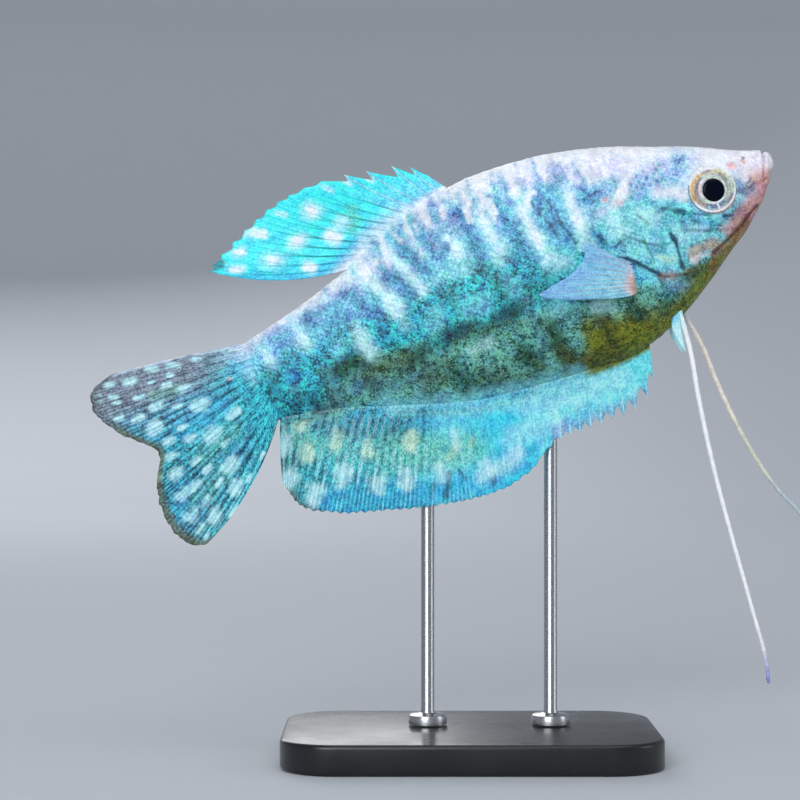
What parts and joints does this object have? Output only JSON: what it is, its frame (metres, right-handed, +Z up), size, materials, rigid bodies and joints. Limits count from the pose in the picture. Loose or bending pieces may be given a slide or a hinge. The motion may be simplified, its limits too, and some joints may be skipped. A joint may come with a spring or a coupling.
{
  "type": "opaline gourami model",
  "caption": "Life-size still model of a freshwater fish with thread-like pelvic feelers and a long sail-like anal fin, swimming nose up over a plain stand.",
  "frame": {"origin": "centre of the stand base's underside", "axes": "+X towards the head, +Y to the fish's left side, +Z up"},
  "size_m": [0.1323, 0.04, 0.1014],
  "materials": {
    "fish_skin": "scaled skin, pale lavender back, blue bars and turquoise flank, satin gloss",
    "eye": "golden iris with a near-black pupil, wet gloss",
    "fin_membrane": "rayed web, cyan and teal with pale spots, satin",
    "feeler": "smooth pale thread, satin",
    "stand_base": "black acrylic, satin",
    "stand_rod": "drawn stainless steel"
  },
  "bodies": {
    "root": {"head": "fish_skin", "lower_jaw": "fish_skin", "trunk": "fish_skin", "tail_stalk": "fish_skin", "eye_right": "eye", "eye_left": "eye", "dorsal_fin": "fin_membrane", "anal_fin": "fin_membrane", "caudal_fin": "fin_membrane", "pectoral_fin_right": "fin_membrane", "pectoral_fin_left": "fin_membrane", "pelvic_fin_right": "fin_membrane", "pelvic_fin_left": "fin_membrane", "pelvic_feeler_right_root": "feeler", "pelvic_feeler_right_middle": "feeler", "pelvic_feeler_right_tip": "feeler", "pelvic_feeler_left_root": "feeler", "pelvic_feeler_left_middle": "feeler", "pelvic_feeler_left_tip": "feeler", "stand_base": "stand_base", "stand_rod_rear": "stand_rod", "stand_rod_front": "stand_rod"}
  },
  "joints": []
}
